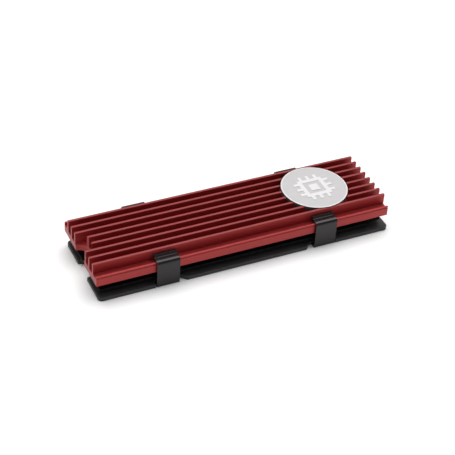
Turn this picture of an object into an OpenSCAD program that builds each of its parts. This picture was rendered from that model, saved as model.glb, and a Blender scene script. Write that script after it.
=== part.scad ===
// Clip-on finned cooler closed around a solid state drive of the 80 mm by 22 mm card size.
// +X points to the drive's contact edge, +Y across the fins, +Z up.
// The origin is the middle of the underside, on the surface that the assembly rests on.

/* [Heatsink] */
// Length of the finned extrusion
sink_len = 82; // [82:0.5:84]
// Number of fins
fin_count = 8; // [8:2:10]
// Distance from the middle of one fin to the middle of the next
fin_pitch = 2.58; // [2.54:0.02:2.7]
// Thickness of a fin
fin_t = 0.7; // [0.6:0.05:0.9]
// Height of the fins above the base between them
fin_h = 3.35; // [3:0.05:4]
// Thickness of the base between the fins
base_t = 1.75; // [1.5:0.05:2]
// Width of the groove along each side that the clips hook into
groove_w = 1.9; // [1.7:0.05:2]
// Thickness of the floor of that groove
groove_floor_t = 2.05; // [1.9:0.05:2.2]
// Thickness of the lip outside the groove
lip_t = 0.55; // [0.5:0.05:0.8]
// Height of the lip from the underside of the heatsink
lip_h = 2.85; // [2.7:0.05:3]
// Depth of the fine line along the lip's outer face
lip_line_d = 0.15; // [0.1:0.05:0.2]
// Radius of the round notch at the screw end
notch_r = 3.15; // [2.9:0.05:3.4]
// How far the notch's middle lies outside the screw end
notch_out = 0.3; // [0:0.1:0.6]

/* [Badge] */
// Radius of the round badge
badge_r = 8.95; // [8:0.05:9]
// Distance from the middle of the cooler to the middle of the badge
badge_x = 24.5; // [20:0.1:28]
// Thickness of the badge
badge_t = 1.25; // [1:0.05:1.3]
// Thickness of the adhesive under the badge
badge_glue_t = 0.2; // [0.1:0.05:0.3]
// Gap around the badge in its pocket
badge_gap = 0.25; // [0.15:0.05:0.3]
// Height of the raised emblem above the badge's face
emblem_h = 0.1; // [0.05:0.05:0.2]

/* [Backplate] */
// Thickness of the backplate
plate_t = 1.1; // [1:0.05:1.3]
// Width of the backplate, which is as long as the heatsink
plate_w = 24.2; // [24:0.1:24.4]
// How far the backplate sits towards the contact end
plate_shift = 0.4; // [0:0.1:0.6]
// Radius of the round notch in the backplate's screw end
plate_end_notch_r = 3.4; // [3:0.05:3.5]
// Corner radius of the backplate
plate_corner_r = 1.1; // [0.5:0.1:2]
// Width of each clip notch in the long edges, at its floor
plate_notch_w = 7.1; // [6.6:0.1:8]
// Depth of each clip notch
plate_notch_d = 1.5; // [1.4:0.1:1.8]

/* [Clips] */
// Width of a spring clip
clip_w = 6.2; // [5.5:0.1:6.4]
// Thickness of the spring strip
clip_t = 0.5; // [0.4:0.05:0.6]
// Distance from the middle of the heatsink to the middle of a clip
clip_x = 22.2; // [20:0.1:24]
// Outer radius of the bend over the lip
clip_bend_r = 1; // [0.9:0.05:1.2]

/* [Thermal pads] */
// Length of both thermal pads
pad_len = 70; // [60:1:72]
// Width of both thermal pads
pad_w = 20; // [18:0.5:21]
// Thickness of the pad under the circuit board
lower_pad_t = 0.7; // [0.4:0.05:1]
// Thickness of the pad over the chips
upper_pad_t = 0.75; // [0.5:0.05:1]

/* [Drive] */
// Length of the circuit board
board_len = 80; // [80:80]
// Width of the circuit board
board_w = 22; // [22:22]
// Thickness of the circuit board
board_t = 0.8; // [0.8:0.1:1]
// Height of the chips that the upper pad rests on
chip_h = 1.15; // [1:0.05:1.3]
// Width of the tongue that carries the contacts
tongue_w = 19.85; // [19.85:19.85]
// Length of the tongue
tongue_len = 4; // [3.5:0.5:4.5]
// Distance from one contact to the next
contact_pitch = 0.5; // [0.5:0.5]

/* [Hidden] */
$fn = 64;

// Small overshoot that lets a cut run clean through a face
cut = 1;

// Heights of the stack, from the surface that it rests on
board_z = plate_t + lower_pad_t;
board_top = board_z + board_t;
chip_top = board_top + chip_h;
sink_z = chip_top + upper_pad_t;
fin_top = sink_z + base_t + fin_h;
lip_top = sink_z + lip_h;

// Plan of the heatsink, from its screw end
end_x = -(sink_len + plate_shift) / 2;
sink_mid = end_x + sink_len / 2;
outer_fin_y = (fin_count - 1) / 2 * fin_pitch + fin_t / 2;
sink_half = outer_fin_y + groove_w + lip_t;

// Fine line along the lip
lip_line_h = 0.3;
lip_line_drop = 0.25;

// Pocket that holds the badge, whose face stands a little above the fins
badge_proud = 0.05;
pocket_z = fin_top - badge_t - badge_glue_t + badge_proud;
badge_glue_inset = 0.6;

// Clip strip: the leg stands just outside the lip and its flange lies just over it
leg_gap = 0.275;
flange_gap = 0.05;
leg_in = sink_half + leg_gap;
leg_out = leg_in + clip_t;
flange_z = lip_top + flange_gap;
flange_fin_gap = 0.15;
flange_in = outer_fin_y + flange_fin_gap;
curl_in_r = 0.1;
curl_angle = 60;
tip_len = 0.7;

// The bend at the foot of each leg, which the leg swings about
pivot_r = clip_t / 2;
pivot_y = leg_in + pivot_r;
pivot_gap = 0.02;

// Backplate: its front edge is level with the outer faces of the front legs
plate_half = plate_w / 2;
plate_x = sink_mid + plate_shift;
plate_y = plate_half - leg_out;
plate_notch_gap = 0.2;

// Drive: the board's screw end lies just inside the heatsink's
board_setback = 1.1;
board_x = end_x + board_setback;
board_end = board_x + board_len;
board_hole_r = 1.75;
board_hole_pad_r = 2.75;
copper_t = 0.04;
key_y = -6.125;
key_w = 1.2;
key_d = 3.5;
key_margin = 1;
contact_count = 38;
contact_w = 0.35;
contact_len = 2.2;
contact_setback = 0.25;
pad_notch_gap = 1.2;
pad_x = end_x + notch_r + pad_notch_gap;

// Chips: middle [x, y] from the board's screw end and its centre line, then size [x, y, z]
flash_size = [12, 18, chip_h];
outer_flash_at = [11, 0];
inner_flash_at = [26, 0];
memory_at = [39, 0];
memory_size = [8, 12, chip_h];
controller_at = [53, 0];
controller_size = [15, 15, chip_h];
power_at = [67, 5.5];
power_size = [4, 4, 0.8];
inductor_size = [2.5, 2.8, 1.1];
inductor_xs = [64.5 : 3.5 : 71.5];
inductor_y = -3;
capacitor_size = [1.6, 0.8, 0.7];
capacitor_x = 74;
capacitor_ys = [-8 : 1.5 : -2];
small_capacitor_size = [0.6, 1, 0.5];
controller_capacitor_xs = [49 : 2 : 57];
controller_capacitor_y = 9;
memory_capacitor_xs = [36 : 2 : 42];
memory_capacitor_y = 8.5;
resistor_size = [0.5, 1, 0.35];
resistor_xs = [71 : 1.1 : 75.5];
resistor_ys = [1.5, 9];
crystal_at = [63.5, -8];
crystal_size = [2, 1.6, 0.5];

black_part = "#1a1a1c";
anodised_red = "#8f1018";
plated_gold = "#d8b04a";
tin = "#b8b8b4";

// --- Cooler ---

module sink_profile() {
    difference() {
        union() {
            translate([-sink_half, sink_z])
                square([2 * sink_half, base_t]);
            for (i = [0 : fin_count - 1])
                translate([(i - (fin_count - 1) / 2) * fin_pitch - fin_t / 2, sink_z])
                    square([fin_t, base_t + fin_h]);
            for (side = [0, 1])
                mirror([side, 0]) {
                    translate([outer_fin_y - fin_t / 2, sink_z])
                        square([groove_w + fin_t, groove_floor_t]);
                    translate([sink_half - lip_t, sink_z])
                        square([lip_t, lip_h]);
                }
        }
        for (side = [0, 1])
            mirror([side, 0])
                translate([sink_half - lip_line_d, lip_top - lip_line_drop - lip_line_h])
                    square([lip_line_d + cut, lip_line_h]);
    }
}

module notch_cut(end, r, z, h) {
    translate([end - notch_out, 0, z - cut])
        cylinder(h = h + 2 * cut, r = r);
}

module heatsink() {
    color(anodised_red)
        difference() {
            translate([end_x, 0, 0])
                rotate([90, 0, 90])
                    linear_extrude(sink_len)
                        sink_profile();
            notch_cut(end_x, notch_r, sink_z, fin_top - sink_z);
            translate([badge_x, 0, pocket_z])
                cylinder(h = fin_top - pocket_z + cut, r = badge_r + badge_gap);
        }
}

module badge_adhesive() {
    color("#d9d9d2")
        translate([badge_x, 0, pocket_z])
            cylinder(h = badge_glue_t, r = badge_r - badge_glue_inset);
}

module badge_disc() {
    color("#dcdcde")
        translate([badge_x, 0, pocket_z + badge_glue_t])
            cylinder(h = badge_t, r = badge_r);
}

// A plain picture of a chip: a square frame with short legs around a smaller square
module badge_emblem() {
    frame_w = 7.2;
    frame_t = 1.2;
    core_w = 2.6;
    leg_w = 0.95;
    leg_len = 1.5;
    leg_step = 2.2;
    color("#f2f2f2")
        translate([badge_x, 0, pocket_z + badge_glue_t + badge_t])
            linear_extrude(emblem_h) {
                difference() {
                    square(frame_w, center = true);
                    square(frame_w - 2 * frame_t, center = true);
                }
                square(core_w, center = true);
                for (turn = [0 : 3], i = [-1 : 1])
                    rotate(90 * turn)
                        translate([frame_w / 2, i * leg_step - leg_w / 2])
                            square([leg_len, leg_w]);
            }
}

module upper_thermal_pad() {
    color("#4a4c50")
        translate([pad_x, -pad_w / 2, chip_top])
            cube([pad_len, pad_w, upper_pad_t]);
}

module lower_thermal_pad() {
    color("#4a4c50")
        translate([pad_x, -pad_w / 2, plate_t])
            cube([pad_len, pad_w, lower_pad_t]);
}

module rounded_plate(length, half, corner) {
    translate([-length / 2 + corner, -half])
        square([length - 2 * corner, 2 * half]);
    translate([-length / 2, -half + corner])
        square([length, 2 * (half - corner)]);
    for (x = [-1, 1], y = [-1, 1])
        translate([x * (length / 2 - corner), y * (half - corner)])
            circle(corner);
}

// Clip notch in a long edge: square at its outer end and cut at 45 degrees at its inner end
module edge_notch() {
    outer = clip_x + clip_w / 2 + plate_notch_gap;
    inner = outer - plate_notch_w;
    over = 0.5;
    polygon([
        [outer, plate_half + over],
        [outer, plate_half - plate_notch_d],
        [inner, plate_half - plate_notch_d],
        [inner - plate_notch_d - over, plate_half + over]
    ]);
}

module backplate() {
    channel_w = clip_w + 2 * plate_notch_gap;
    color("#222224")
        translate([0, plate_y, 0])
            difference() {
                linear_extrude(plate_t)
                    difference() {
                        translate([plate_x, 0])
                            rounded_plate(sink_len, plate_half, plate_corner_r);
                        translate([sink_mid, 0])
                            for (x = [0, 1], y = [0, 1])
                                mirror([x, 0])
                                    mirror([0, y])
                                        edge_notch();
                    }
                notch_cut(plate_x - sink_len / 2, plate_end_notch_r, 0, plate_t);
                for (side = [-1, 1])
                    translate([sink_mid + side * clip_x - channel_w / 2, -plate_half - cut, -cut])
                        cube([channel_w, 2 * (plate_half + cut), clip_t + cut]);
            }
}

// --- Spring clips ---

// Points along a round bend, from one angle to another
function arc(middle, r, start_angle, end_angle, steps = 12) = [
    for (i = [0 : steps])
        let (angle = start_angle + (end_angle - start_angle) * i / steps)
            middle + r * [cos(angle), sin(angle)]
];

// Side view of a leg: up past the lip, over it, and turned up at the free edge
module leg_profile() {
    bend_at = [leg_out - clip_bend_r, flange_z + clip_t - clip_bend_r];
    curl_out_r = curl_in_r + clip_t;
    tip = tip_len * [-cos(curl_angle), sin(curl_angle)];
    curl_at = [flange_in + curl_out_r * sin(curl_angle) - tip[0], flange_z + curl_out_r];
    curl_end = 270 - curl_angle;
    edge = [cos(curl_end), sin(curl_end)];
    polygon(concat(
        [[leg_out, pivot_r]],
        arc(bend_at, clip_bend_r, 0, 90),
        arc(curl_at, curl_in_r, 270, curl_end),
        [curl_at + curl_in_r * edge + tip, curl_at + curl_out_r * edge + tip],
        arc(curl_at, curl_out_r, curl_end, 270),
        arc(bend_at, clip_bend_r - clip_t, 90, 0),
        [[leg_in, pivot_r]]
    ));
    translate([pivot_y, pivot_r])
        circle(pivot_r);
}

module leg(side, rear) {
    color(black_part)
        translate([sink_mid + side * clip_x - clip_w / 2, 0, 0])
            mirror([0, rear ? 0 : 1, 0])
                rotate([90, 0, 90])
                    linear_extrude(clip_w)
                        leg_profile();
}

module web_profile() {
    web_half = pivot_y - pivot_r - pivot_gap;
    toe = 0.15;
    translate([-web_half, 0])
        square([2 * web_half, clip_t]);
    for (side = [0, 1])
        mirror([side, 0])
            difference() {
                translate([web_half - cut, 0])
                    square([cut + toe, pivot_r]);
                translate([pivot_y, pivot_r])
                    circle(pivot_r + pivot_gap);
            }
}

module web(side) {
    color(black_part)
        translate([sink_mid + side * clip_x - clip_w / 2, 0, 0])
            rotate([90, 0, 90])
                linear_extrude(clip_w)
                    web_profile();
}

module clip_left_web() {
    web(-1);
}

module clip_right_web() {
    web(1);
}

module clip_left_front_leg() {
    leg(-1, false);
}

module clip_left_rear_leg() {
    leg(-1, true);
}

module clip_right_front_leg() {
    leg(1, false);
}

module clip_right_rear_leg() {
    leg(1, true);
}

// --- Drive ---

module board_outline() {
    tongue_x = board_end - tongue_len;
    difference() {
        union() {
            translate([board_x, -board_w / 2])
                square([board_len - tongue_len, board_w]);
            translate([tongue_x - cut, -tongue_w / 2])
                square([tongue_len + cut, tongue_w]);
        }
        translate([board_x, 0])
            circle(board_hole_r);
        translate([board_end - key_d + key_w / 2, key_y]) {
            circle(key_w / 2);
            translate([0, -key_w / 2])
                square([key_d + cut, key_w]);
        }
    }
}

module circuit_board() {
    color("#15181a")
        difference() {
            translate([0, 0, board_z])
                linear_extrude(board_t)
                    board_outline();
            translate([0, 0, -cut])
                hole_ring(copper_t + cut);
        }
}

module contact_row(count, z) {
    for (i = [0 : count - 1]) {
        y = (i - (count - 1) / 2) * contact_pitch;
        if (abs(y - key_y) > key_margin)
            translate([board_end - contact_setback - contact_len, y - contact_w / 2, z])
                cube([contact_len, contact_w, copper_t]);
    }
}

module contact_fingers() {
    color(plated_gold) {
        contact_row(contact_count, board_top);
        contact_row(contact_count - 1, board_z - copper_t);
    }
}

// The solder ring let into the underside around the board's half-round hole
module hole_ring(depth) {
    translate([board_x, 0, board_z])
        linear_extrude(depth)
            intersection() {
                circle(board_hole_pad_r);
                translate([0, -board_hole_pad_r])
                    square(2 * board_hole_pad_r);
            }
}

module screw_notch_plating() {
    color(plated_gold)
        difference() {
            hole_ring(copper_t);
            translate([board_x, 0, board_z - cut])
                cylinder(h = copper_t + 2 * cut, r = board_hole_r);
        }
}

module on_board(at, size) {
    translate([board_x + at[0] - size[0] / 2, at[1] - size[1] / 2, board_top])
        cube(size);
}

module controller_chip() {
    color(black_part)
        on_board(controller_at, controller_size);
}

module memory_chip() {
    color(black_part)
        on_board(memory_at, memory_size);
}

module inner_flash_chip() {
    color(black_part)
        on_board(inner_flash_at, flash_size);
}

module outer_flash_chip() {
    color(black_part)
        on_board(outer_flash_at, flash_size);
}

module power_chip() {
    color(black_part)
        on_board(power_at, power_size);
}

module inductors() {
    color("#3c3c40")
        for (x = inductor_xs)
            on_board([x, inductor_y], inductor_size);
}

module capacitors() {
    color("#a48a63") {
        for (y = capacitor_ys)
            on_board([capacitor_x, y], capacitor_size);
        for (x = controller_capacitor_xs, side = [-1, 1])
            on_board([x, side * controller_capacitor_y], small_capacitor_size);
        for (x = memory_capacitor_xs, side = [-1, 1])
            on_board([x, side * memory_capacitor_y], small_capacitor_size);
    }
}

module resistors() {
    color("#2a2a2c")
        for (x = resistor_xs, y = resistor_ys)
            on_board([x, y], resistor_size);
}

module crystal() {
    color(tin)
        on_board(crystal_at, crystal_size);
}

heatsink();
badge_disc();
badge_emblem();
badge_adhesive();
upper_thermal_pad();
lower_thermal_pad();
backplate();
clip_left_web();
clip_left_front_leg();
clip_left_rear_leg();
clip_right_web();
clip_right_front_leg();
clip_right_rear_leg();
circuit_board();
contact_fingers();
screw_notch_plating();
controller_chip();
memory_chip();
inner_flash_chip();
outer_flash_chip();
power_chip();
inductors();
capacitors();
resistors();
crystal();
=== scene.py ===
"""Looks for a solid state drive clamped in its finned cooler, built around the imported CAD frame."""

import math
import random

import bmesh
import bpy
from mathutils import Matrix, Vector


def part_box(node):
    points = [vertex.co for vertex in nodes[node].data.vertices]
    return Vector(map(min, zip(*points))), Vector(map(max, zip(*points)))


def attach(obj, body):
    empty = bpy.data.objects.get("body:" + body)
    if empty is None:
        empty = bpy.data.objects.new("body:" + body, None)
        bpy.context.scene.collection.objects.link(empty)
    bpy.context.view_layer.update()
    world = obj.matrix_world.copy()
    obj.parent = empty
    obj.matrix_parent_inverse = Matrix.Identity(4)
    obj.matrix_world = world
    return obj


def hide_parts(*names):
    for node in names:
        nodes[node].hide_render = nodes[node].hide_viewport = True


MM = 0.001

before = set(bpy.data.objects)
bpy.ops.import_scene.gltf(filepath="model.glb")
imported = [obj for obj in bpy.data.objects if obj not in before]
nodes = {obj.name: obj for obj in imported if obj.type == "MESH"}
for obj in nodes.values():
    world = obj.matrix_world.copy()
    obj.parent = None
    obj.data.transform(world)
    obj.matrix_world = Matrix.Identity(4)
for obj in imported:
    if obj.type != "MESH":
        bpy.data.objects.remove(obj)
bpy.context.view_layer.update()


# --- Camera ---

CAMERA_AZIMUTH = math.radians(-27.18)
CAMERA_ELEVATION = math.radians(38.28)
CAMERA_ROLL = math.radians(-4.13)
CAMERA_DISTANCE = 334.7 * MM
CAMERA_TARGET = Vector((-2.13 * MM, -3.24 * MM, 5.77 * MM))
CAMERA_LENS = 102.43
SENSOR_WIDTH = 36


def make_camera():
    """The camera looks along the drive from its front left, with a slight roll."""
    back = Vector((
        math.sin(CAMERA_AZIMUTH) * math.cos(CAMERA_ELEVATION),
        -math.cos(CAMERA_AZIMUTH) * math.cos(CAMERA_ELEVATION),
        math.sin(CAMERA_ELEVATION),
    ))
    level = Vector((0, 0, 1)).cross(back).normalized()
    right = Matrix.Rotation(CAMERA_ROLL, 3, -back) @ level
    up = back.cross(right)
    data = bpy.data.cameras.new("camera")
    data.lens = CAMERA_LENS
    data.sensor_width = SENSOR_WIDTH
    data.clip_start = 0.01
    data.clip_end = 20
    camera = bpy.data.objects.new("camera", data)
    turn = Matrix((right, up, back)).transposed().to_4x4()
    camera.matrix_world = Matrix.Translation(CAMERA_TARGET + back * CAMERA_DISTANCE) @ turn
    bpy.context.scene.collection.objects.link(camera)
    bpy.context.scene.camera = camera


# --- Materials ---


class Surface:
    """A principled material, with short calls for the texture nodes that feed it."""

    def __init__(self, name, color, metallic=0.0, roughness=0.4, **sockets):
        self.material = bpy.data.materials.new(name)
        self.material.use_nodes = True
        self.tree = self.material.node_tree
        self.shader = self.tree.nodes["Principled BSDF"]
        self.color = (*color, 1)
        self.roughness = roughness
        self.shader.inputs["Base Color"].default_value = self.color
        self.shader.inputs["Metallic"].default_value = metallic
        self.shader.inputs["Roughness"].default_value = roughness
        for socket, value in sockets.items():
            self.shader.inputs[socket.replace("_", " ")].default_value = value
        self.place = self.node("ShaderNodeTexCoord")
        self.normal = None

    def node(self, kind, **values):
        made = self.tree.nodes.new(kind)
        for key, value in values.items():
            setattr(made, key, value)
        return made

    def link(self, out, into):
        self.tree.links.new(out, into)

    def noise(self, size, detail=3.0, stretch=(1, 1, 1)):
        """Noise whose features are about size metres across, times stretch along each axis."""
        mapping = self.node("ShaderNodeMapping")
        mapping.inputs["Scale"].default_value = [1 / (size * s) for s in stretch]
        texture = self.node("ShaderNodeTexNoise")
        texture.inputs["Scale"].default_value = 1
        texture.inputs["Detail"].default_value = detail
        self.link(self.place.outputs["Object"], mapping.inputs["Vector"])
        self.link(mapping.outputs["Vector"], texture.inputs["Vector"])
        return texture.outputs["Fac"]

    def spread(self, value, low, high):
        """Maps noise, which mostly lies from 0.3 to 0.7, to the range low to high."""
        mapped = self.node("ShaderNodeMapRange")
        mapped.inputs["From Min"].default_value = 0.3
        mapped.inputs["From Max"].default_value = 0.7
        mapped.inputs["To Min"].default_value = low
        mapped.inputs["To Max"].default_value = high
        self.link(value, mapped.inputs["Value"])
        return mapped.outputs["Result"]

    def mix(self, factor, first, second):
        """Mixes two colours, each a tuple or a socket."""
        mixer = self.node("ShaderNodeMix", data_type="RGBA")
        self.link(factor, mixer.inputs["Factor"])
        for source, socket in ((first, mixer.inputs["A"]), (second, mixer.inputs["B"])):
            if isinstance(source, tuple):
                socket.default_value = source
            else:
                self.link(source, socket)
        return mixer.outputs["Result"]

    def vary_color(self, factor, amount):
        """Lightens and darkens the base colour by up to amount, following factor."""
        darker = tuple(c * (1 - amount) for c in self.color[:3]) + (1,)
        lighter = tuple(min(c * (1 + amount), 1) for c in self.color[:3]) + (1,)
        color = self.mix(factor, darker, lighter)
        self.link(color, self.shader.inputs["Base Color"])
        return color

    def vary_roughness(self, value, amount):
        low, high = self.roughness - amount, self.roughness + amount
        self.link(self.spread(value, low, high), self.shader.inputs["Roughness"])

    def bump(self, height, depth, strength):
        """Adds a bump of about depth metres on top of any bump added before."""
        bump = self.node("ShaderNodeBump")
        bump.inputs["Strength"].default_value = strength
        bump.inputs["Distance"].default_value = depth
        self.link(height, bump.inputs["Height"])
        if self.normal:
            self.link(self.normal, bump.inputs["Normal"])
        self.normal = bump.outputs["Normal"]
        self.link(self.normal, self.shader.inputs["Normal"])

    def above(self, low, high):
        """0 below the height low, rising to 1 at the height high."""
        split = self.node("ShaderNodeSeparateXYZ")
        mapped = self.node("ShaderNodeMapRange")
        mapped.inputs["From Min"].default_value = low
        mapped.inputs["From Max"].default_value = high
        self.link(self.place.outputs["Object"], split.inputs["Vector"])
        self.link(split.outputs["Z"], mapped.inputs["Value"])
        return mapped.outputs["Result"]

    def facing_x(self):
        """1 on faces that look along X, 0 on the others."""
        low, high = 0.5, 0.8
        split = self.node("ShaderNodeSeparateXYZ")
        size = self.node("ShaderNodeMath", operation="ABSOLUTE")
        mapped = self.node("ShaderNodeMapRange")
        mapped.inputs["From Min"].default_value = low
        mapped.inputs["From Max"].default_value = high
        self.link(self.place.outputs["Normal"], split.inputs["Vector"])
        self.link(split.outputs["X"], size.inputs[0])
        self.link(size.outputs[0], mapped.inputs["Value"])
        return mapped.outputs["Result"]


def red_anodised():
    """Red anodised extrusion: die lines along X, a blasted grain, and painted shade that darkens the end
    faces and the fin tops.
    """
    s = Surface(
        "red_anodised", (0.315, 0.022, 0.022), metallic=0.5, roughness=0.42,
        Specular_IOR_Level=0.3, Coat_Weight=0.25, Coat_Roughness=0.5,
    )
    # Painted shade: faces that look along X get a darker red so the end faces catch less light.
    end_shade_red = (0.255, 0.016, 0.016, 1)
    # Painted shade: the top 0.12 mm of the fins is darkened so the tops catch less of the overhead light.
    top_shade_red = (0.23, 0.028, 0.028, 1)
    fin_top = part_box("heatsink")[1].z
    top_shade_starts, top_shade_full = fin_top - 0.12 * MM, fin_top - 0.03 * MM
    die_lines = s.noise(0.12 * MM, detail=2, stretch=(160, 1, 1))
    grain = s.noise(0.09 * MM, detail=2)
    streaks = s.noise(0.3 * MM, stretch=(70, 1, 1))
    dyed = s.vary_color(s.spread(streaks, 0, 1), 0.08)
    ends_shaded = s.mix(s.facing_x(), dyed, end_shade_red)
    fin_tops_shaded = s.mix(s.above(top_shade_starts, top_shade_full), ends_shaded, top_shade_red)
    s.link(fin_tops_shaded, s.shader.inputs["Base Color"])
    s.vary_roughness(grain, 0.05)
    s.bump(die_lines, 0.004 * MM, strength=0.5)
    s.bump(grain, 0.003 * MM, strength=0.5)
    return s.material


def black_plate():
    """Matt black coated sheet with a fine orange-peel surface."""
    s = Surface("plate_black", (0.028, 0.0262, 0.028), roughness=0.5, Specular_IOR_Level=0.28)
    peel = s.noise(0.25 * MM)
    clouds = s.noise(4 * MM, detail=4)
    s.vary_color(s.spread(clouds, 0, 1), 0.15)
    s.vary_roughness(peel, 0.06)
    s.bump(peel, 0.01 * MM, strength=0.4)
    return s.material


def black_clip():
    """Black-finished spring strip, rolled along its length, its black tinted slightly red as a painted
    reflection of the red fins.
    """
    s = Surface("clip_black", (0.0075, 0.0038, 0.0044), roughness=0.13, Specular_IOR_Level=0.36)
    rolled = s.noise(0.03 * MM, detail=2, stretch=(1, 60, 60))
    clouds = s.noise(2 * MM, detail=4)
    s.vary_color(s.spread(clouds, 0, 1), 0.15)
    s.vary_roughness(s.noise(0.8 * MM), 0.03)
    s.bump(rolled, 0.0008 * MM, strength=0.3)
    return s.material


def badge_silver():
    """Brushed silver face."""
    s = Surface("badge_silver", (0.45, 0.44, 0.44), metallic=0.1, roughness=0.5)
    brushed = s.noise(0.07 * MM, detail=2, stretch=(60, 1, 1))
    streaks = s.noise(0.2 * MM, stretch=(20, 1, 1))
    s.vary_color(s.spread(streaks, 0, 1), 0.04)
    s.vary_roughness(brushed, 0.05)
    s.bump(brushed, 0.003 * MM, strength=0.5)
    return s.material


def emblem_silver():
    """Brighter silver for the raised emblem, also put on the badge's rim as a painted highlight."""
    s = Surface("emblem_silver", (0.62, 0.61, 0.61), metallic=0.1, roughness=0.45)
    grain = s.noise(0.15 * MM, detail=2)
    s.vary_color(s.spread(grain, 0, 1), 0.02)
    s.bump(grain, 0.002 * MM, strength=0.3)
    return s.material


def speckled(name, color, roughness, grain, depth, amount=0.12, metallic=0.0):
    """A surface with fine speckle of grain metres across, in colour, roughness and height."""
    s = Surface(name, color, metallic, roughness)
    speckle = s.noise(grain)
    patches = s.noise(grain * 5, detail=2)
    s.vary_color(s.spread(speckle, 0, 1), amount)
    s.vary_roughness(patches, 0.04)
    s.bump(speckle, depth, strength=0.5)
    return s.material


def board_mask():
    """Black solder mask over copper, with the glass weave just showing."""
    s = Surface("board_black", (0.0035, 0.0036, 0.0038), roughness=0.6, Specular_IOR_Level=0.07)
    thread = 0.5 * MM
    weave = s.node("ShaderNodeTexChecker")
    weave.inputs["Scale"].default_value = 1 / thread
    s.link(s.place.outputs["Object"], weave.inputs["Vector"])
    clouds = s.noise(3 * MM, detail=4)
    s.vary_color(s.spread(clouds, 0, 1), 0.2)
    s.bump(weave.outputs["Fac"], 0.002 * MM, strength=0.25)
    s.bump(s.noise(0.3 * MM), 0.003 * MM, strength=0.3)
    return s.material


RED = red_anodised()
PLATE = black_plate()
CLIP = black_clip()
SILVER = badge_silver()
EMBLEM_SILVER_AND_RIM_HIGHLIGHT = emblem_silver()
# Painted shade: dark metal for the badge's side wall, standing for the shade it sits in between the fins.
PAINTED_SHADE_BADGE_SIDE = speckled("badge_side_painted_shade", (0.07, 0.062, 0.062), 0.5, 0.12 * MM, 0.003 * MM, amount=0.1)
BOARD = board_mask()
GOLD = speckled("gold_plate", (0.78, 0.5, 0.16), 0.28, 0.08 * MM, 0.002 * MM, amount=0.06, metallic=1.0)
TIN = speckled("tinned_metal", (0.56, 0.55, 0.52), 0.34, 0.12 * MM, 0.004 * MM, amount=0.1, metallic=1.0)
CHIP = speckled("chip_black", (0.013, 0.013, 0.0145), 0.5, 0.09 * MM, 0.004 * MM, amount=0.2)
SUBSTRATE = speckled("chip_substrate", (0.012, 0.03, 0.018), 0.4, 0.2 * MM, 0.002 * MM)
CERAMIC = speckled("ceramic_tan", (0.3, 0.2, 0.11), 0.45, 0.08 * MM, 0.003 * MM, amount=0.1)
RESISTOR = speckled("resistor_black", (0.012, 0.012, 0.013), 0.3, 0.1 * MM, 0.002 * MM)
ALUMINA = speckled("ceramic_white", (0.68, 0.67, 0.63), 0.5, 0.08 * MM, 0.002 * MM, amount=0.05)
FERRITE = speckled("ferrite_grey", (0.06, 0.06, 0.064), 0.55, 0.12 * MM, 0.006 * MM, amount=0.25)
LID = speckled("can_steel", (0.6, 0.59, 0.56), 0.3, 0.1 * MM, 0.002 * MM, amount=0.06, metallic=1.0)
PAD = speckled("pad_grey", (0.055, 0.058, 0.064), 0.75, 0.14 * MM, 0.012 * MM, amount=0.2)
TAPE = speckled("adhesive", (0.55, 0.55, 0.5), 0.5, 0.3 * MM, 0.004 * MM)
MARKING = speckled("board_marking", (0.5, 0.5, 0.48), 0.6, 0.1 * MM, 0.002 * MM)
TRACE = speckled("masked_copper", (0.017, 0.018, 0.02), 0.34, 0.2 * MM, 0.002 * MM)


# --- CAD nodes that keep their own shape ---

WELD_DISTANCE = 0.002 * MM
COPLANAR_ANGLE = math.radians(1)
BEVEL_ANGLE = math.radians(25)
FLAT_FACES_LEAD = 90


def round_edges(node_name, material, width, segments=2):
    """Gives a CAD node its material and soft edges, by modifiers that leave its mesh alone."""
    obj = nodes[node_name]
    obj.data.materials.clear()
    obj.data.materials.append(material)
    for polygon in obj.data.polygons:
        polygon.use_smooth = True
    weld = obj.modifiers.new("weld", "WELD")
    weld.merge_threshold = WELD_DISTANCE
    flat = obj.modifiers.new("flat", "DECIMATE")
    flat.decimate_type = "DISSOLVE"
    flat.angle_limit = COPLANAR_ANGLE
    bevel = obj.modifiers.new("bevel", "BEVEL")
    bevel.width = width
    bevel.segments = segments
    bevel.limit_method = "ANGLE"
    bevel.angle_limit = BEVEL_ANGLE
    shade = obj.modifiers.new("shade", "WEIGHTED_NORMAL")
    shade.mode = "FACE_AREA"
    shade.weight = FLAT_FACES_LEAD


def finish_cad_nodes():
    """Softens every CAD node that shows, each by the radius that its edges have."""
    round_edges("heatsink", RED, 0.07 * MM)
    round_edges("badge_emblem", EMBLEM_SILVER_AND_RIM_HIGHLIGHT, 0.035 * MM)
    round_edges("badge_adhesive", TAPE, 0.05 * MM, segments=1)
    round_edges("backplate", PLATE, 0.12 * MM, segments=3)
    for name in nodes:
        if name.startswith("clip_"):
            round_edges(name, CLIP, 0.06 * MM)
    round_edges("circuit_board", BOARD, 0.04 * MM)
    round_edges("contact_fingers", GOLD, 0.012 * MM, segments=1)
    round_edges("screw_notch_plating", GOLD, 0.008 * MM, segments=1)


# --- Mesh helpers ---

SMOOTH_ANGLE = math.radians(35)


def new_piece(name, bm, body, materials, replaced):
    """Turns a bmesh into a piece that rides on a body. It stands for a CAD node unless replaced is None."""
    mesh = bpy.data.meshes.new(name)
    bmesh.ops.recalc_face_normals(bm, faces=bm.faces)
    bm.to_mesh(mesh)
    bm.free()
    for material in materials:
        mesh.materials.append(material)
    for polygon in mesh.polygons:
        polygon.use_smooth = True
    mesh.set_sharp_from_angle(angle=SMOOTH_ANGLE)
    piece = bpy.data.objects.new(name, mesh)
    bpy.context.scene.collection.objects.link(piece)
    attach(piece, body)
    if replaced:
        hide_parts(replaced)


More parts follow.
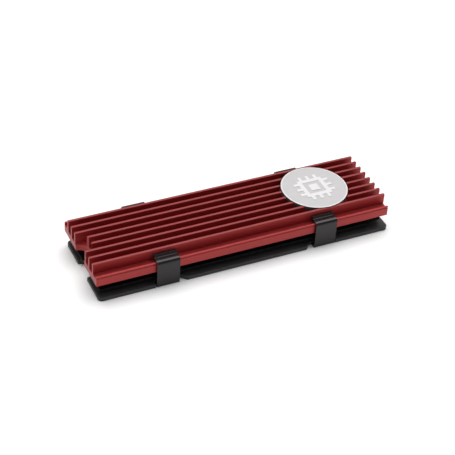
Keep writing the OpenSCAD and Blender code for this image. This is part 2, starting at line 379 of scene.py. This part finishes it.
def soft_box(bm, low, high, radius, material=0, segments=2):
    """Adds a box with rounded edges."""
    before = set(bm.faces)
    low, high = Vector(low), Vector(high)
    place = Matrix.Translation((low + high) / 2) @ Matrix.Diagonal((*(high - low), 1))
    made = bmesh.ops.create_cube(bm, size=1, matrix=place)
    edges = list(dict.fromkeys(e for v in made["verts"] for e in v.link_edges))
    bmesh.ops.bevel(bm, geom=edges, offset=radius, segments=segments, profile=0.5, affect="EDGES")
    for face in bm.faces:
        if face not in before:
            face.material_index = material


def turned(bm, profile, middle, steps=192, material=0):
    """Adds a body of revolution about a vertical axis. The profile's ends lie on the axis."""
    rings = []
    for radius, z in profile:
        if radius == 0:
            rings.append([bm.verts.new((middle[0], middle[1], z))])
            continue
        angles = (2 * math.pi * i / steps for i in range(steps))
        rings.append([
            bm.verts.new((middle[0] + radius * math.cos(a), middle[1] + radius * math.sin(a), z))
            for a in angles
        ])
    for lower, upper in zip(rings, rings[1:]):
        for i in range(steps):
            j = (i + 1) % steps
            corners = [
                lower[i % len(lower)], lower[j % len(lower)],
                upper[j % len(upper)], upper[i % len(upper)],
            ]
            face = bm.faces.new(list(dict.fromkeys(corners)))
            face.material_index = material


def arc_points(middle, radius, start, end, steps):
    """Points of an arc in a profile, with the angles in degrees."""
    angles = (math.radians(start + (end - start) * i / steps) for i in range(steps + 1))
    return [(middle[0] + radius * math.cos(a), middle[1] + radius * math.sin(a)) for a in angles]


# --- Badge ---


def make_badge():
    """A turned disc whose brushed face lies inside a raised rim in brighter silver as a painted highlight,
    over a side darkened as painted shade.
    """
    low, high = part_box("badge_disc")
    middle = (low + high) / 2
    radius = (high.x - low.x) / 2
    foot = 0.1 * MM
    rim_w = 0.34 * MM
    rim_h = 0.03 * MM
    edge = 0.07 * MM
    edge_steps = 6
    rim_top = high.z + rim_h
    profile = [(0, low.z), (radius - foot, low.z), (radius, low.z + foot)]
    profile += arc_points((radius - edge, rim_top - edge), edge, 0, 90, edge_steps)
    profile += [(radius - rim_w, rim_top), (radius - rim_w - rim_h, high.z), (0, high.z)]
    bm = bmesh.new()
    turned(bm, profile, middle)
    # The rim takes the brighter silver as a painted highlight, and the side below it takes a painted-shade
    # dark material.
    brushed, rim, side = range(3)
    for face in bm.faces:
        at = face.calc_center_median()
        if at.z < rim_top - edge:
            face.material_index = side
        elif (at - middle).xy.length > radius - rim_w - rim_h:
            face.material_index = rim
        else:
            face.material_index = brushed
    new_piece(
        "badge_disc_turned", bm, "cooler", [SILVER, EMBLEM_SILVER_AND_RIM_HIGHLIGHT, PAINTED_SHADE_BADGE_SIDE], "badge_disc",
    )


# --- Thermal pads ---


def make_pad(name, node_name, pressed_by=()):
    """A silicone pad with bulging sides. The chips under it leave shallow prints in its lower face."""
    low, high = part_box(node_name)
    cell = 0.5 * MM
    bulge = 0.12 * MM
    print_depth = 0.05 * MM
    print_edge = 0.25 * MM
    count_x = round((high.x - low.x) / cell)
    count_y = round((high.y - low.y) / cell)
    count_z = 4
    prints = [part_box(n) for n in pressed_by]

    def place(i, j, k):
        up = k / count_z
        side = bulge * (2 * up - 1) ** 2
        x = low.x + side + (high.x - low.x - 2 * side) * i / count_x
        y = low.y + side + (high.y - low.y - 2 * side) * j / count_y
        z = low.z + (high.z - low.z) * up
        if k == 0:
            for p_low, p_high in prints:
                inside = min(x - p_low.x, p_high.x - x, y - p_low.y, p_high.y - y)
                z += print_depth * min(max(inside / print_edge + 0.5, 0), 1)
        return x, y, z

    bm = bmesh.new()
    verts = {}

    def vert(i, j, k):
        if (i, j, k) not in verts:
            verts[i, j, k] = bm.verts.new(place(i, j, k))
        return verts[i, j, k]

    for i in range(count_x):
        for j in range(count_y):
            for k in (0, count_z):
                bm.faces.new([vert(i, j, k), vert(i + 1, j, k), vert(i + 1, j + 1, k), vert(i, j + 1, k)])
    for k in range(count_z):
        for i in range(count_x):
            for j in (0, count_y):
                bm.faces.new([vert(i, j, k), vert(i + 1, j, k), vert(i + 1, j, k + 1), vert(i, j, k + 1)])
        for j in range(count_y):
            for i in (0, count_x):
                bm.faces.new([vert(i, j, k), vert(i, j + 1, k), vert(i, j + 1, k + 1), vert(i, j, k + 1)])
    new_piece(name, bm, "cooler", [PAD], node_name)


# --- Chips ---

BIG_CHIPS = ("controller_chip", "memory_chip", "inner_flash_chip", "outer_flash_chip")
BALL_SQUASH = 0.9


def ball(bm, middle, radius, material, rings=4, steps=8):
    """Adds a small solder ball, flattened a little where it meets chip and board."""
    profile = [(0, middle.z - radius * BALL_SQUASH)]
    for i in range(1, rings):
        angle = math.pi * i / rings
        profile.append((radius * math.sin(angle), middle.z - radius * BALL_SQUASH * math.cos(angle)))
    profile.append((0, middle.z + radius * BALL_SQUASH))
    turned(bm, profile, middle, steps, material)


def cap_with_dimple(bm, low, high, chamfer, dimple_r, dimple_in, depth):
    """Adds a moulded cap: sloping chamfer, flat top, and a round first-pin dimple in one corner."""
    steps = 24

    def ring(inset, z):
        corners = (
            (low.x + inset, low.y + inset), (high.x - inset, low.y + inset),
            (high.x - inset, high.y - inset), (low.x + inset, high.y - inset),
        )
        return [bm.verts.new((x, y, z)) for x, y in corners]

    rings = [ring(0, low.z), ring(0, high.z - chamfer), ring(chamfer, high.z)]
    bm.faces.new(list(reversed(rings[0])))
    for lower, upper in zip(rings, rings[1:]):
        for i in range(4):
            j = (i + 1) % 4
            bm.faces.new([lower[i], lower[j], upper[j], upper[i]])
    middle = Vector((low.x + dimple_in, high.y - dimple_in))

    def circle(radius, z):
        angles = (2 * math.pi * i / steps for i in range(steps))
        return [
            bm.verts.new((middle.x + radius * math.cos(a), middle.y + radius * math.sin(a), z))
            for a in angles
        ]

    rim, floor = circle(dimple_r, high.z), circle(dimple_r - depth, high.z - depth)
    for i in range(steps):
        j = (i + 1) % steps
        bm.faces.new([rim[i], rim[j], floor[j], floor[i]])
    bm.faces.new(floor)
    around = [bm.edges.get((rings[-1][i], rings[-1][(i + 1) % 4])) for i in range(4)]
    around += [bm.edges.get((rim[i], rim[(i + 1) % steps])) for i in range(steps)]
    bmesh.ops.triangle_fill(bm, edges=around, use_beauty=True)


def make_big_chip(node_name):
    """A ball-grid package: moulded cap, thin substrate, and the outer rows of solder balls."""
    low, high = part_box(node_name)
    ball_r = 0.13 * MM
    pitch = 0.65 * MM
    inset = 0.45 * MM
    substrate_t = 0.22 * MM
    substrate_edge = 0.02 * MM
    cap_in = 0.04 * MM
    substrate_index, ball_index = 1, 2
    board_gap = 2 * ball_r * BALL_SQUASH
    substrate_top = low.z + board_gap + substrate_t
    substrate_low = (low.x, low.y, low.z + board_gap)
    substrate_high = (high.x, high.y, substrate_top)
    cap_low = Vector((low.x + cap_in, low.y + cap_in, substrate_top))
    cap_high = Vector((high.x - cap_in, high.y - cap_in, high.z))
    bm = bmesh.new()
    cap_with_dimple(
        bm, cap_low, cap_high,
        chamfer=0.06 * MM, dimple_r=0.4 * MM, dimple_in=1.1 * MM, depth=0.03 * MM,
    )
    count_x = int((high.x - low.x - 2 * inset) / pitch)
    count_y = int((high.y - low.y - 2 * inset) / pitch)
    middle = (low + high) / 2
    for i in range(count_x + 1):
        for j in range(count_y + 1):
            if 0 < i < count_x and 0 < j < count_y:
                continue
            x = middle.x + (i - count_x / 2) * pitch
            y = middle.y + (j - count_y / 2) * pitch
            ball(bm, Vector((x, y, low.z + ball_r * BALL_SQUASH)), ball_r, ball_index)
    # The box comes last: faces made after its bevel would be stored in a different order on each run
    soft_box(bm, substrate_low, substrate_high, substrate_edge, substrate_index, segments=1)
    new_piece(node_name + "_package", bm, "drive", [CHIP, SUBSTRATE, TIN], node_name)


def make_power_chip():
    """A small leadless package with tinned lands along each side."""
    low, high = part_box("power_chip")
    land_count = 7
    pitch = 0.5 * MM
    land_w = 0.22 * MM
    land_h = 0.2 * MM
    land_edge = 0.02 * MM
    land_depth = 0.12 * MM
    land_shows = 0.06 * MM
    stand = 0.03 * MM
    cap_low = Vector((low.x + land_shows, low.y + land_shows, low.z + stand))
    cap_high = Vector((high.x - land_shows, high.y - land_shows, high.z))
    bm = bmesh.new()
    cap_with_dimple(
        bm, cap_low, cap_high,
        chamfer=0.04 * MM, dimple_r=0.22 * MM, dimple_in=0.6 * MM, depth=0.03 * MM,
    )
    middle = (low + high) / 2
    for i in range(land_count):
        along = (i - (land_count - 1) / 2) * pitch
        for side in (low.x, high.x - land_depth):
            start = (side, middle.y + along - land_w / 2, low.z)
            end = (side + land_depth, start[1] + land_w, low.z + land_h)
            soft_box(bm, start, end, land_edge, material=1, segments=1)
        for side in (low.y, high.y - land_depth):
            start = (middle.x + along - land_w / 2, side, low.z)
            end = (start[0] + land_w, side + land_depth, low.z + land_h)
            soft_box(bm, start, end, land_edge, material=1, segments=1)
    new_piece("power_chip_package", bm, "drive", [CHIP, TIN], "power_chip")


# --- Small parts on the board ---


def islands(node_name):
    """The lowest and highest corners of each separate solid in a CAD node."""
    bm = bmesh.new()
    bm.from_mesh(nodes[node_name].data)
    bmesh.ops.remove_doubles(bm, verts=bm.verts, dist=0.001 * MM)
    left, found = set(bm.verts), []
    while left:
        group, to_visit = [], [left.pop()]
        while to_visit:
            vert = to_visit.pop()
            group.append(vert.co.copy())
            for edge in vert.link_edges:
                other = edge.other_vert(vert)
                if other in left:
                    left.remove(other)
                    to_visit.append(other)
        found.append((
            Vector(min(c[a] for c in group) for a in range(3)),
            Vector(max(c[a] for c in group) for a in range(3)),
        ))
    bm.free()
    return sorted(found, key=lambda box: tuple(round(c, 6) for c in box[0]))


def capped_part(bm, low, high, cap_share):
    """Adds a body along the longer side of a box, with a metal cap over each end of it."""
    size = high - low
    axis = 0 if size.x > size.y else 1
    across = 1 - axis
    cap = max(size.xy) * cap_share
    body_setback = cap * 0.6
    sink = 0.03 * MM
    body_edge = 0.03 * MM
    cap_edge = 0.06 * MM
    body_low, body_high = low.copy(), high.copy()
    body_low[axis] += body_setback
    body_high[axis] -= body_setback
    body_low[across] += sink
    body_high[across] -= sink
    body_low.z += sink
    body_high.z -= sink
    soft_box(bm, body_low, body_high, body_edge)
    for end in (0, 1):
        cap_low, cap_high = low.copy(), high.copy()
        if end:
            cap_low[axis] = high[axis] - cap
        else:
            cap_high[axis] = low[axis] + cap
        soft_box(bm, cap_low, cap_high, cap_edge, material=1)


def make_capacitors():
    """Ceramic blocks with tinned ends."""
    bm = bmesh.new()
    for low, high in islands("capacitors"):
        capped_part(bm, low, high, cap_share=0.26)
    new_piece("capacitors_capped", bm, "drive", [CERAMIC, TIN], "capacitors")


def make_resistors():
    """White ceramic blocks with tinned ends and a black film on top."""
    film_above = 0.06 * MM
    film_sunk = 0.04 * MM
    film_top_drop = 0.03 * MM
    film_in_x, film_in_y = 0.04 * MM, 0.24 * MM
    film_edge = 0.02 * MM
    bm = bmesh.new()
    for low, high in islands("resistors"):
        top = high.z - film_above
        capped_part(bm, low, Vector((high.x, high.y, top)), cap_share=0.22)
        film_low = (low.x + film_in_x, low.y + film_in_y, top - film_sunk)
        film_high = (high.x - film_in_x, high.y - film_in_y, high.z - film_top_drop)
        soft_box(bm, film_low, film_high, film_edge, material=2, segments=1)
    new_piece("resistors_capped", bm, "drive", [ALUMINA, TIN, RESISTOR], "resistors")


def make_inductors():
    """Pressed ferrite blocks, each on two tinned feet."""
    side_in = 0.04 * MM
    lift = 0.05 * MM
    body_edge = 0.12 * MM
    foot = 0.5 * MM
    foot_in = 0.3 * MM
    foot_h = 0.42 * MM
    foot_edge = 0.05 * MM
    bm = bmesh.new()
    for low, high in islands("inductors"):
        body_low = (low.x, low.y + side_in, low.z + lift)
        body_high = (high.x, high.y - side_in, high.z)
        soft_box(bm, body_low, body_high, body_edge)
        for y_low, y_high in ((low.y, low.y + foot), (high.y - foot, high.y)):
            foot_low = (low.x + foot_in, y_low, low.z)
            foot_high = (high.x - foot_in, y_high, low.z + foot_h)
            soft_box(bm, foot_low, foot_high, foot_edge, material=1)
    new_piece("inductors_pressed", bm, "drive", [FERRITE, TIN], "inductors")


def make_crystal():
    """A metal lid on a ceramic base."""
    low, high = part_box("crystal")
    base_top = low.z + 0.28 * MM
    base_edge = 0.05 * MM
    lid_in = 0.12 * MM
    lid_sunk = 0.05 * MM
    lid_edge = 0.08 * MM
    bm = bmesh.new()
    soft_box(bm, low, (high.x, high.y, base_top), base_edge, material=1)
    lid_low = (low.x + lid_in, low.y + lid_in, base_top - lid_sunk)
    lid_high = (high.x - lid_in, high.y - lid_in, high.z)
    soft_box(bm, lid_low, lid_high, lid_edge, segments=3)
    new_piece("crystal_can", bm, "drive", [LID, ALUMINA], "crystal")


# --- Copper and markings on the board's face ---

BOARD_LOW, BOARD_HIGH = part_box("circuit_board")
FACE_FOOT_Z = BOARD_HIGH.z - 0.005 * MM
TRACE_Z = BOARD_HIGH.z + 0.016 * MM
VIA_Z = BOARD_HIGH.z + 0.02 * MM
VIA_PLATING_Z = BOARD_HIGH.z + 0.024 * MM
TEST_PAD_Z = BOARD_HIGH.z + 0.03 * MM
MARK_Z = BOARD_HIGH.z + 0.012 * MM
COPPER_INDEX, GOLD_INDEX, MARK_INDEX = range(3)
TRACE_W = 0.13 * MM
TRACE_UNDER_PART = 0.5 * MM

# Distance of each test pad from the board's screw end and from its centre line, in millimetres
TEST_PADS = ((62.5, 8.5), (62.5, 6.9), (64.1, 8.5), (33.7, 0.8), (33.7, -0.8))


def ribbon(bm, points, width, top_z, material):
    """Adds a flat strip that follows points in the XY plane, with mitred corners."""
    sharpest_mitre = 0.5
    points = [Vector(p) for p in points]
    sides = []
    for i, point in enumerate(points):
        before = (point - points[i - 1]).normalized() if i else None
        after = (points[i + 1] - point).normalized() if i < len(points) - 1 else None
        first, second = before or after, after or before
        tangent = (first + second).normalized()
        normal = Vector((-tangent.y, tangent.x))
        reach = width / 2 / max(normal.dot(Vector((-first.y, first.x))), sharpest_mitre)
        sides.append((point + normal * reach, point - normal * reach))
    rings = [
        [
            bm.verts.new((left.x, left.y, FACE_FOOT_Z)), bm.verts.new((left.x, left.y, top_z)),
            bm.verts.new((right.x, right.y, top_z)), bm.verts.new((right.x, right.y, FACE_FOOT_Z)),
        ]
        for left, right in sides
    ]
    faces = [bm.faces.new(rings[0]), bm.faces.new(list(reversed(rings[-1])))]
    for lower, upper in zip(rings, rings[1:]):
        for i in range(4):
            j = (i + 1) % 4
            faces.append(bm.faces.new([lower[i], lower[j], upper[j], upper[i]]))
    for face in faces:
        face.material_index = material


def trace(bm, points):
    """Adds a copper track."""
    ribbon(bm, points, TRACE_W, TRACE_Z, COPPER_INDEX)


def disc(bm, x, y, radius, top_z, material, steps):
    """Adds a flat round mark."""
    profile = [(0, FACE_FOOT_Z), (radius, FACE_FOOT_Z), (radius, top_z), (0, top_z)]
    turned(bm, profile, (x, y), steps, material)


def add_memory_traces(bm):
    """Runs from the controller past both sides of the memory chip to the inner flash chip."""
    controller_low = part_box("controller_chip")[0]
    memory_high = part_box("memory_chip")[1]
    inner_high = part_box("inner_flash_chip")[1]
    per_side, bent = 5, 3
    step = 0.28 * MM
    run_gap = 0.5 * MM
    end_in = 1.5 * MM
    bend_gap = 0.3 * MM
    x_start, x_end = controller_low.x + TRACE_UNDER_PART, inner_high.x - TRACE_UNDER_PART
    x_bend = controller_low.x - bend_gap
    for side in (-1, 1):
        for i in range(per_side):
            y_run = side * (memory_high.y + run_gap + i * step)
            y_end = side * (memory_high.y - end_in - i * step)
            x_after = x_bend - abs(y_run - y_end)
            if i < bent:
                trace(bm, [(x_start, y_end), (x_bend, y_end), (x_after, y_run), (x_end, y_run)])
            else:
                trace(bm, [(x_start, y_run), (x_end, y_run)])


def add_flash_traces(bm):
    """Straight runs from one flash chip to the other."""
    count = 24
    pitch = 0.66 * MM
    x_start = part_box("outer_flash_chip")[1].x - TRACE_UNDER_PART
    x_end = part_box("inner_flash_chip")[0].x + TRACE_UNDER_PART
    for i in range(count):
        y = (i - (count - 1) / 2) * pitch
        trace(bm, [(x_start, y), (x_end, y)])


def add_contact_traces(bm):
    """Four pairs that fan out from the controller to the contacts."""
    pairs = 4
    first_start, start_pair_step, start_half_step = 0.9 * MM, 0.6 * MM, 0.25 * MM
    first_end, end_pair_step, end_half_step = 3.25 * MM, 2 * MM, 0.5 * MM
    fan_from_end, fan_step = 9 * MM, 0.5 * MM
    x_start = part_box("controller_chip")[1].x - TRACE_UNDER_PART
    x_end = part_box("contact_fingers")[0].x + 0.1 * MM
    for pair in range(pairs):
        for half in (0, 1):
            y_start = first_start - pair * start_pair_step - half * start_half_step
            y_end = first_end - pair * end_pair_step - half * end_half_step
            x_bend = BOARD_HIGH.x - fan_from_end + pair * fan_step
            x_after = x_bend + abs(y_end - y_start)
            trace(bm, [(x_start, y_start), (x_bend, y_start), (x_after, y_end), (x_end, y_end)])


def add_vias(bm):
    """Vias at random points of a grid, clear of every part and of the board's edges."""
    count = 150
    grid = 0.4 * MM
    part_gap = 0.35 * MM
    side_margin, screw_margin, contact_margin = 2 * MM, 4 * MM, 2 * MM
    via_r, plating_r = 0.16 * MM, 0.075 * MM
    finger_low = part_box("contact_fingers")[0]
    dice = random.Random(7)
    blocked = [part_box(n) for n in (*BIG_CHIPS, "power_chip")]
    for name in ("capacitors", "resistors", "inductors", "crystal"):
        blocked += islands(name)

    def clear(x, y):
        return all(
            not (low.x - part_gap < x < high.x + part_gap and low.y - part_gap < y < high.y + part_gap)
            for low, high in blocked
        )

    placed = 0
    while placed < count:
        x = dice.uniform(BOARD_LOW.x + screw_margin, finger_low.x - contact_margin)
        y = dice.uniform(BOARD_LOW.y + side_margin, BOARD_HIGH.y - side_margin)
        x, y = (round(v / grid) * grid for v in (x, y))
        if clear(x, y):
            disc(bm, x, y, via_r, VIA_Z, COPPER_INDEX, steps=12)
            disc(bm, x, y, plating_r, VIA_PLATING_Z, GOLD_INDEX, steps=8)
            placed += 1


def add_test_pads(bm):
    """Gold discs for a tester's probes."""
    pad_r = 0.4 * MM
    for x, y in TEST_PADS:
        disc(bm, BOARD_LOW.x + x * MM, y * MM, pad_r, TEST_PAD_Z, GOLD_INDEX, steps=24)


def add_outlines(bm):
    """Corner marks around the big chips, and lines beside the longer small parts."""
    corner_line, corner_arm, corner_gap = 0.12 * MM, 1.2 * MM, 0.3 * MM
    side_line, side_gap, long_part = 0.08 * MM, 0.14 * MM, 1 * MM
    for low, high in (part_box(n) for n in BIG_CHIPS):
        for sx, sy in ((-1, -1), (1, -1), (1, 1), (-1, 1)):
            x = (low.x - corner_gap) if sx < 0 else (high.x + corner_gap)
            y = (low.y - corner_gap) if sy < 0 else (high.y + corner_gap)
            corner = [(x - sx * corner_arm, y), (x, y), (x, y - sy * corner_arm)]
            ribbon(bm, corner, corner_line, MARK_Z, MARK_INDEX)
    for name in ("inductors", "capacitors"):
        for low, high in islands(name):
            if (high - low).x > long_part:
                for y in (low.y - side_gap, high.y + side_gap):
                    ribbon(bm, [(low.x, y), (high.x, y)], side_line, MARK_Z, MARK_INDEX)


def make_board_face():
    """Traces under the mask, vias, test pads and plain outlines. There is no lettering."""
    bm = bmesh.new()
    add_memory_traces(bm)
    add_flash_traces(bm)
    add_contact_traces(bm)
    add_vias(bm)
    add_test_pads(bm)
    add_outlines(bm)
    new_piece("board_copper_and_marks", bm, "drive", [TRACE, GOLD, MARKING], None)


# --- Stage and light ---


def make_floor():
    """A pale floor. Beyond the softbox's reach it glows a little, so it stays pale in low views."""
    near, far, glow = 0.3, 1.1, 1.3
    floor_size = 8
    s = Surface("floor_white", (0.9, 0.9, 0.9), roughness=0.9, Emission_Color=(1, 1, 1, 1))
    distance = s.node("ShaderNodeVectorMath", operation="LENGTH")
    rise = s.node("ShaderNodeMapRange")
    rise.inputs["From Min"].default_value = near
    rise.inputs["From Max"].default_value = far
    rise.inputs["To Max"].default_value = glow
    s.link(s.place.outputs["Object"], distance.inputs["Vector"])
    s.link(distance.outputs["Value"], rise.inputs["Value"])
    s.link(rise.outputs["Result"], s.shader.inputs["Emission Strength"])
    bpy.ops.mesh.primitive_plane_add(size=floor_size, location=(0, 0, 0))
    floor = bpy.context.object
    floor.name = "floor"
    floor.data.materials.append(s.material)


def make_softbox(location, size, power):
    """A rectangular light that looks at the origin."""
    data = bpy.data.lights.new("top_softbox", "AREA")
    data.shape = "RECTANGLE"
    data.size, data.size_y = size
    data.energy = power
    light = bpy.data.objects.new("top_softbox", data)
    light.location = location
    light.rotation_euler = (-Vector(location)).to_track_quat("-Z", "Y").to_euler()
    bpy.context.scene.collection.objects.link(light)


def make_world():
    """A dim surround with a pale horizon. Its level falls from the horizon's to the sky's with height."""
    horizon_height, sky_height = 0.03, 0.25
    horizon_level, sky_level = 1.0, 0.36
    world = bpy.data.worlds.new("world")
    bpy.context.scene.world = world
    world.use_nodes = True
    tree = world.node_tree
    background = tree.nodes["Background"]
    background.inputs["Color"].default_value = (1, 1, 1, 1)
    place = tree.nodes.new("ShaderNodeTexCoord")
    split = tree.nodes.new("ShaderNodeSeparateXYZ")
    fall = tree.nodes.new("ShaderNodeMapRange")
    fall.inputs["From Min"].default_value = horizon_height
    fall.inputs["From Max"].default_value = sky_height
    fall.inputs["To Min"].default_value = horizon_level
    fall.inputs["To Max"].default_value = sky_level
    tree.links.new(place.outputs["Generated"], split.inputs["Vector"])
    tree.links.new(split.outputs["Z"], fall.inputs["Value"])
    tree.links.new(fall.outputs["Result"], background.inputs["Strength"])


make_camera()
finish_cad_nodes()
make_badge()
make_pad("upper_thermal_pad_soft", "upper_thermal_pad", BIG_CHIPS)
make_pad("lower_thermal_pad_soft", "lower_thermal_pad")
for chip in BIG_CHIPS:
    make_big_chip(chip)
make_power_chip()
make_capacitors()
make_resistors()
make_inductors()
make_crystal()
make_board_face()
make_floor()
make_world()
make_softbox(location=(0.08, 0.2, 0.67), size=(1.0, 0.7), power=7.65)
bpy.context.scene.view_settings.view_transform = "Standard"
